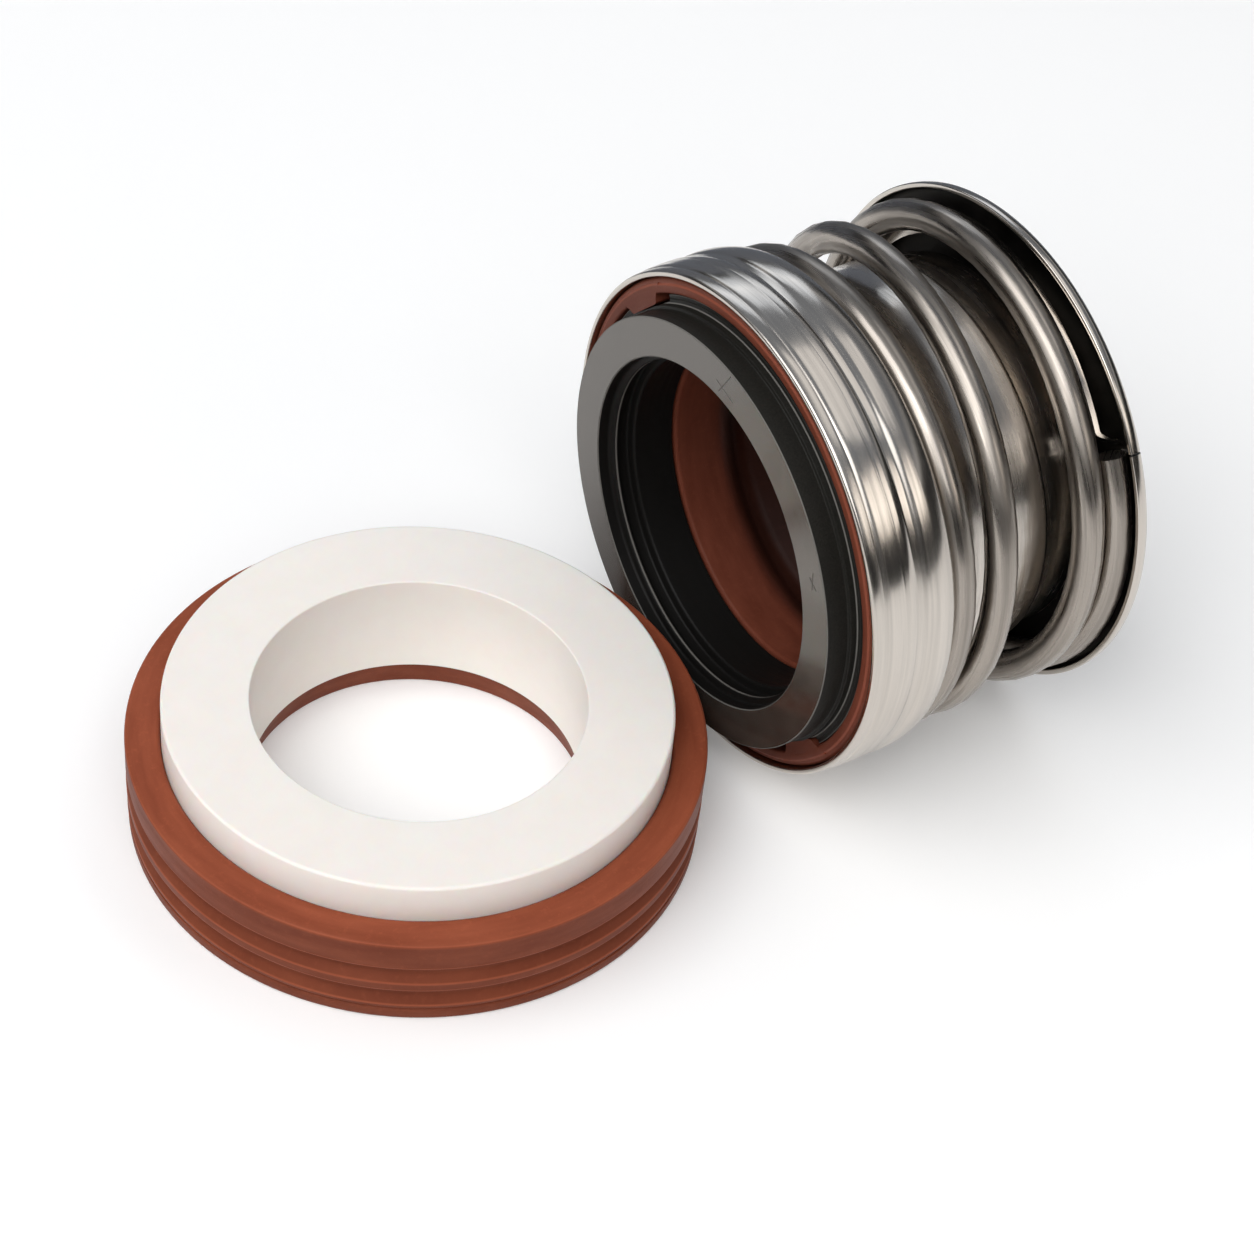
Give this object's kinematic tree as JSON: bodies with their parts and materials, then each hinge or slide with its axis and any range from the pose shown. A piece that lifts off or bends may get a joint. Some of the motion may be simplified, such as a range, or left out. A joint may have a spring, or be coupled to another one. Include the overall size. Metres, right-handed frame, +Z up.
{
  "type": "component mechanical seal",
  "caption": "Rubber bellows mechanical seal for a pump shaft: a ceramic seat in a ribbed rubber cup, and a spring-loaded carbon face in a stamped steel retainer.",
  "frame": {"origin": "centre of the seat's base, on the axis of its bore, where the seat stands on the floor", "axes": "+Z up along the seat's bore towards its lapped face; +X along the head's shaft bore, from the carbon face to the spring holder"},
  "size_m": [0.075, 0.0466, 0.0423],
  "materials": {
    "ceramic": "satin white ceramic, lapped on top",
    "cup_rubber": "satin",
    "carbon": "matte carbon, lapped on its face",
    "bellows_rubber": "satin",
    "retainer_steel": "polished stainless steel",
    "band_steel": "polished stainless steel",
    "spring_steel": "drawn wire",
    "holder_steel": "polished stainless steel"
  },
  "bodies": {
    "seal_base": {"seat_ring": "ceramic", "seat_cup": "cup_rubber", "bellows": "bellows_rubber", "drive_band": "band_steel", "spring_holder": "holder_steel", "spring": "spring_steel"},
    "face_unit": {"seal_face": "carbon", "retainer": "retainer_steel"}
  },
  "joints": [
    {"name": "face_slide", "type": "slide", "parent": "seal_base", "child": "face_unit", "axis": [1, 0, 0], "range_m": [0, 0.0045], "stiffness_N_per_m": 6000, "deforming": ["spring", "bellows"]}
  ]
}
